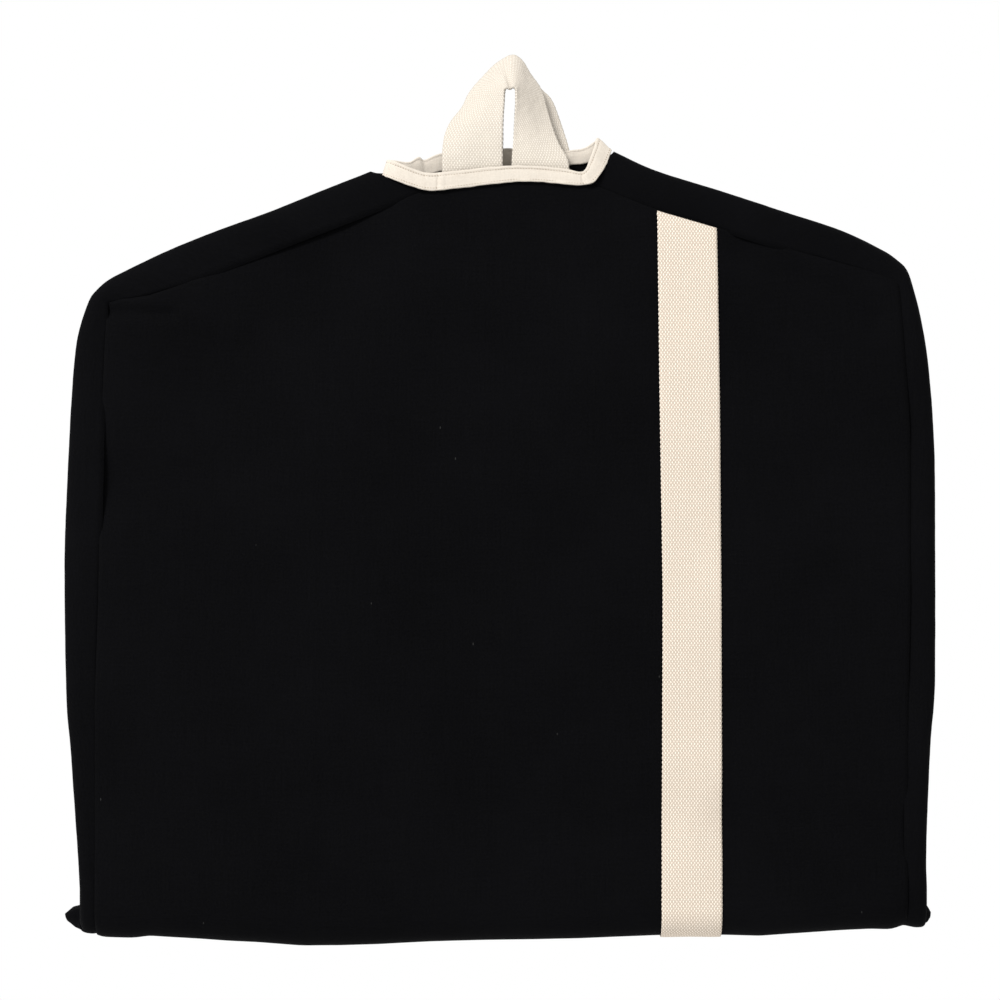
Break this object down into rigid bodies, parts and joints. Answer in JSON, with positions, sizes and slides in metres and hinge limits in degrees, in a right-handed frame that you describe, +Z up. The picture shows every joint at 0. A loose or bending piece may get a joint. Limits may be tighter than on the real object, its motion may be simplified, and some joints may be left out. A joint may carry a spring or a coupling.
{
  "type": "folded garment bag",
  "caption": "Flat garment bag folded in half: black canvas with a side gusset, natural canvas collar, webbing handle loops, a webbing stripe and a centre back zip.",
  "frame": {"origin": "where a hook bears, under the tops of the two webbing handles", "axes": "+Z up, towards the handles; -Y out of the striped face, which is the front; +X to the right seen from the front; Y = 0 is the plane between the two folded halves"},
  "size_m": [0.5778, 0.0406, 0.5858],
  "materials": {
    "black_canvas": "matt plain-woven cotton canvas",
    "natural_canvas": "undyed plain-woven cotton canvas",
    "stripe_webbing": "undyed cotton webbing",
    "handle_webbing": "undyed cotton webbing",
    "zip_tape": "matt herringbone tape",
    "zip_coil": "satin nylon coil",
    "zip_metal": "black-nickelled zinc"
  },
  "bodies": {
    "upper_half": {"back_collar": "natural_canvas", "back_handle_tails": "handle_webbing", "back_panel_upper_left": "black_canvas", "back_panel_upper_right": "black_canvas", "front_collar": "natural_canvas", "front_handle_tails": "handle_webbing", "front_panel_upper": "black_canvas", "gusset_collar_left": "natural_canvas", "gusset_collar_right": "natural_canvas", "side_gusset_upper_left": "black_canvas", "side_gusset_upper_right": "black_canvas", "stripe_upper": "stripe_webbing", "zip_coil_upper_left": "zip_coil", "zip_coil_upper_right": "zip_coil", "zip_tape_upper_left": "zip_tape", "zip_tape_upper_right": "zip_tape", "zip_top_stop_left": "zip_metal", "zip_top_stop_right": "zip_metal"},
    "fold_strip": {"back_panel_fold_left": "black_canvas", "back_panel_fold_right": "black_canvas", "front_panel_fold": "black_canvas", "side_gusset_fold_left": "black_canvas", "side_gusset_fold_right": "black_canvas", "stripe_fold": "stripe_webbing", "zip_coil_fold_left": "zip_coil", "zip_coil_fold_right": "zip_coil", "zip_tape_fold_left": "zip_tape", "zip_tape_fold_right": "zip_tape"},
    "lower_half": {"back_panel_lower_left": "black_canvas", "back_panel_lower_right": "black_canvas", "front_panel_lower": "black_canvas", "hem_gusset": "black_canvas", "side_gusset_lower_left": "black_canvas", "side_gusset_lower_right": "black_canvas", "stripe_lower": "stripe_webbing", "zip_bottom_stop": "zip_metal", "zip_coil_lower_left": "zip_coil", "zip_coil_lower_right": "zip_coil", "zip_tape_lower_left": "zip_tape", "zip_tape_lower_right": "zip_tape"},
    "zip_slider": {"slider_body": "zip_metal"},
    "pull_tab": {"pull_tab": "zip_metal"},
    "front_handle": {"front_handle": "handle_webbing"},
    "back_handle": {"back_handle": "handle_webbing"}
  },
  "joints": [
    {"name": "fold_front_hinge", "type": "hinge", "parent": "upper_half", "child": "fold_strip", "pos_m": [0, -0.0116, -0.56], "axis": [-1, 0, 0], "range_deg": [0, 90]},
    {"name": "fold_back_hinge", "type": "hinge", "parent": "fold_strip", "child": "lower_half", "pos_m": [0, 0.0116, -0.56], "axis": [-1, 0, 0], "range_deg": [0, 90]},
    {"name": "zip_slide", "type": "slide", "parent": "upper_half", "child": "zip_slider", "axis": [0, 0, -1], "range_m": [0, 0.43]},
    {"name": "pull_tab_hinge", "type": "hinge", "parent": "zip_slider", "child": "pull_tab", "pos_m": [0, -0.0022, -0.074], "axis": [1, 0, 0], "range_deg": [0, 170]},
    {"name": "front_handle_flop", "type": "hinge", "parent": "upper_half", "child": "front_handle", "pos_m": [0, -0.0202, -0.0498], "axis": [1, 0, 0], "range_deg": [0, 170]},
    {"name": "back_handle_flop", "type": "hinge", "parent": "upper_half", "child": "back_handle", "pos_m": [0, -0.0012, -0.0396], "axis": [-1, 0, 0], "range_deg": [0, 140]}
  ],
  "couplings": [
    {"joint": "fold_back_hinge", "follows": "fold_front_hinge", "ratio": 1}
  ]
}
